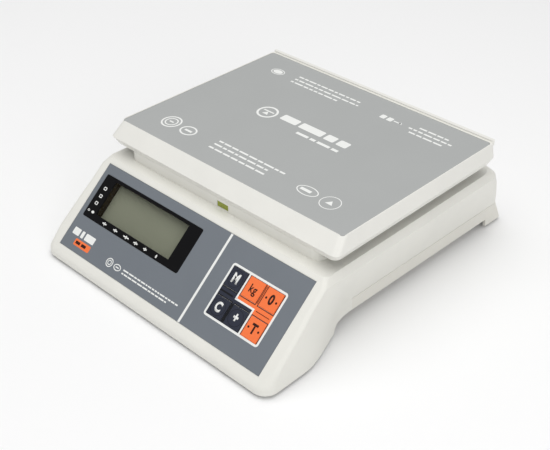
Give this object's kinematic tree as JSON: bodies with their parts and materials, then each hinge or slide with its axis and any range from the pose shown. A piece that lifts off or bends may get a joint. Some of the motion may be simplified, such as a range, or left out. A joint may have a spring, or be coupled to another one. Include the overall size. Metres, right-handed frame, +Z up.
{
  "type": "counting scale",
  "caption": "Desktop counting scale: off-white moulded body, sloping grey panel with a display and keys, lift-off grey platform on a load cell, levelling feet.",
  "frame": {"origin": "on the standing surface under the soles, in the middle of the footprint", "axes": "+Z up, -Y towards the person who reads the display, +X to that person's right"},
  "size_m": [0.272, 0.321, 0.1015],
  "materials": {
    "body_plastic": "fine satin moulded ABS, off-white",
    "pan_plastic": "satin moulded ABS, off-white",
    "overlay_film": "printed polyester film, slate grey",
    "window_lens": "clear lens with a black printed border",
    "black_plastic": "black moulded plastic",
    "lcd_glass": "reflective liquid-crystal glass, olive grey",
    "circuit_board": "green solder mask",
    "white_nylon": "natural nylon",
    "key_dark": "printed film, dark navy",
    "key_orange": "printed film, orange",
    "switch_metal": "plated switch cover",
    "zinc_steel": "zinc plated",
    "level_liquid": "clear acrylic with yellow-green liquid",
    "cell_aluminium": "milled aluminium",
    "black_steel": "black oxide",
    "cast_aluminium": "die-cast, as cast",
    "grey_rubber": "moulded rubber",
    "sheet_lacquer": "grey lacquer with white printing",
    "battery_case": "black battery case",
    "cable_grey": "grey sheath",
    "cable_red": "red sheath",
    "black_rubber": "moulded rubber"
  },
  "bodies": {
    "housing": {"lower_housing": "body_plastic", "upper_housing": "body_plastic", "panel_overlay": "overlay_film", "display_window": "window_lens", "lcd_bezel": "black_plastic", "lcd_glass": "lcd_glass", "display_board": "circuit_board", "display_posts": "white_nylon", "key_board": "circuit_board", "tact_switches": "switch_metal", "panel_screws": "zinc_steel", "level_vial": "level_liquid", "level_holder": "body_plastic", "load_cell": "cell_aluminium", "cell_base_block": "cell_aluminium", "cell_base_bolts": "black_steel", "overload_stops": "black_steel", "main_board": "circuit_board", "board_components": "black_plastic", "board_screws": "zinc_steel", "battery": "battery_case", "battery_tabs": "zinc_steel", "power_switch": "black_plastic", "dc_jack": "black_plastic", "housing_screws": "zinc_steel", "cell_cable": "cable_grey", "battery_leads": "cable_red", "display_cable": "cable_grey", "key_cable": "cable_grey"},
    "weighbridge": {"cell_top_block": "cell_aluminium", "cell_top_bolts": "black_steel", "spider": "cast_aluminium", "pan_cushions": "grey_rubber"},
    "platform": {"pan": "pan_plastic", "pan_sheet": "sheet_lacquer"},
    "battery_door": {"battery_door": "body_plastic"},
    "power_rocker": {"power_rocker": "black_plastic"},
    "key_total": {"key_total": "key_dark"},
    "key_unit": {"key_unit": "key_orange"},
    "key_zero": {"key_zero": "key_orange"},
    "key_clear": {"key_clear": "key_dark"},
    "key_sum": {"key_sum": "key_dark"},
    "key_tare": {"key_tare": "key_orange"},
    "stud_front_left": {"stud_front_left": "zinc_steel"},
    "sole_front_left": {"sole_front_left": "black_rubber"},
    "stud_front_right": {"stud_front_right": "zinc_steel"},
    "sole_front_right": {"sole_front_right": "black_rubber"},
    "stud_rear_left": {"stud_rear_left": "zinc_steel"},
    "sole_rear_left": {"sole_rear_left": "black_rubber"},
    "stud_rear_right": {"stud_rear_right": "zinc_steel"},
    "sole_rear_right": {"sole_rear_right": "black_rubber"}
  },
  "joints": [
    {"name": "weigh_deflection", "type": "slide", "parent": "housing", "child": "weighbridge", "axis": [0, 0, -1], "range_m": [0, 0.0004], "stiffness_N_per_m": 20000, "springref_m": -0.0015, "deforming": ["load_cell"]},
    {"name": "platform_lift", "type": "slide", "parent": "weighbridge", "child": "platform", "axis": [0, 0, 1], "range_m": [0, 0.06]},
    {"name": "battery_door_swing", "type": "hinge", "parent": "housing", "child": "battery_door", "pos_m": [0, -0.06825, 0.01125], "axis": [1, 0, 0], "range_deg": [-80, 0]},
    {"name": "power_rocker_tilt", "type": "hinge", "parent": "housing", "child": "power_rocker", "pos_m": [0.084, -0.02, 0.009], "axis": [1, 0, 0], "range_deg": [0, 14]},
    {"name": "key_total_press", "type": "slide", "parent": "housing", "child": "key_total", "axis": [0, 0.6547, -0.7559], "range_m": [0, 0.0004], "stiffness_N_per_m": 1200, "springref_m": -0.0004},
    {"name": "key_unit_press", "type": "slide", "parent": "housing", "child": "key_unit", "axis": [0, 0.6547, -0.7559], "range_m": [0, 0.0004], "stiffness_N_per_m": 1200, "springref_m": -0.0004},
    {"name": "key_zero_press", "type": "slide", "parent": "housing", "child": "key_zero", "axis": [0, 0.6547, -0.7559], "range_m": [0, 0.0004], "stiffness_N_per_m": 1200, "springref_m": -0.0004},
    {"name": "key_clear_press", "type": "slide", "parent": "housing", "child": "key_clear", "axis": [0, 0.6547, -0.7559], "range_m": [0, 0.0004], "stiffness_N_per_m": 1200, "springref_m": -0.0004},
    {"name": "key_sum_press", "type": "slide", "parent": "housing", "child": "key_sum", "axis": [0, 0.6547, -0.7559], "range_m": [0, 0.0004], "stiffness_N_per_m": 1200, "springref_m": -0.0004},
    {"name": "key_tare_press", "type": "slide", "parent": "housing", "child": "key_tare", "axis": [0, 0.6547, -0.7559], "range_m": [0, 0.0004], "stiffness_N_per_m": 1200, "springref_m": -0.0004},
    {"name": "foot_front_left_drop", "type": "slide", "parent": "housing", "child": "stud_front_left", "axis": [0, 0, -1], "range_m": [0, 0.006]},
    {"name": "foot_front_left_turn", "type": "hinge", "parent": "stud_front_left", "child": "sole_front_left", "pos_m": [-0.118, -0.134, 0], "axis": [0, 0, 1], "range_deg": [0, 1440]},
    {"name": "foot_front_right_drop", "type": "slide", "parent": "housing", "child": "stud_front_right", "axis": [0, 0, -1], "range_m": [0, 0.006]},
    {"name": "foot_front_right_turn", "type": "hinge", "parent": "stud_front_right", "child": "sole_front_right", "pos_m": [0.118, -0.134, 0], "axis": [0, 0, 1], "range_deg": [0, 1440]},
    {"name": "foot_rear_left_drop", "type": "slide", "parent": "housing", "child": "stud_rear_left", "axis": [0, 0, -1], "range_m": [0, 0.006]},
    {"name": "foot_rear_left_turn", "type": "hinge", "parent": "stud_rear_left", "child": "sole_rear_left", "pos_m": [-0.1, 0.14, 0], "axis": [0, 0, 1], "range_deg": [0, 1440]},
    {"name": "foot_rear_right_drop", "type": "slide", "parent": "housing", "child": "stud_rear_right", "axis": [0, 0, -1], "range_m": [0, 0.006]},
    {"name": "foot_rear_right_turn", "type": "hinge", "parent": "stud_rear_right", "child": "sole_rear_right", "pos_m": [0.1, 0.14, 0], "axis": [0, 0, 1], "range_deg": [0, 1440]}
  ],
  "couplings": [
    {"joint": "foot_front_left_drop", "follows": "foot_front_left_turn", "m_per_rad": 0.00023873},
    {"joint": "foot_front_right_drop", "follows": "foot_front_right_turn", "m_per_rad": 0.00023873},
    {"joint": "foot_rear_left_drop", "follows": "foot_rear_left_turn", "m_per_rad": 0.00023873},
    {"joint": "foot_rear_right_drop", "follows": "foot_rear_right_turn", "m_per_rad": 0.00023873}
  ]
}
